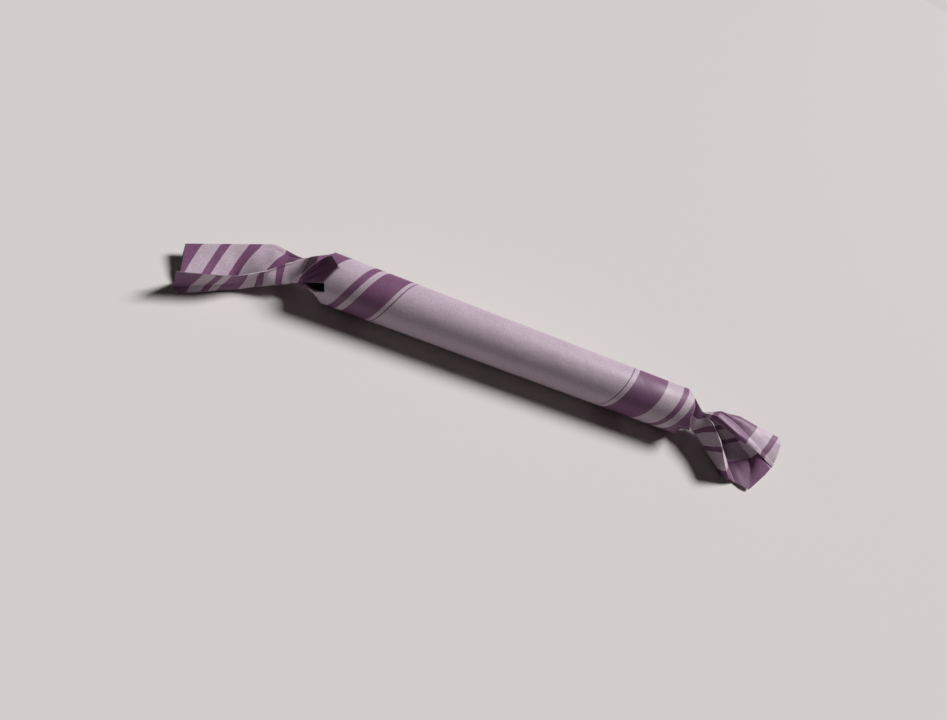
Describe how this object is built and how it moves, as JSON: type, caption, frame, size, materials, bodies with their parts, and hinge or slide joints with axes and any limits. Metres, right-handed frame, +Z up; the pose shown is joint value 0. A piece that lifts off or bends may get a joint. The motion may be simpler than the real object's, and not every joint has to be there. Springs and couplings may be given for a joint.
{
  "type": "wrapped hard candy stick",
  "caption": "Round hard candy stick rolled in striped waxed paper, with both paper ends twisted and pressed flat.",
  "frame": {"origin": "on the table, under the middle of the whole wrapped stick", "axes": "+X along the stick towards the end with the wide fan, +Z up, flattened paper ends swing to -Y"},
  "size_m": [0.2372, 0.03, 0.0179],
  "materials": {
    "waxed_paper": "satin"
  },
  "bodies": {
    "root": {"wrapped_stick": "waxed_paper"}
  },
  "joints": []
}
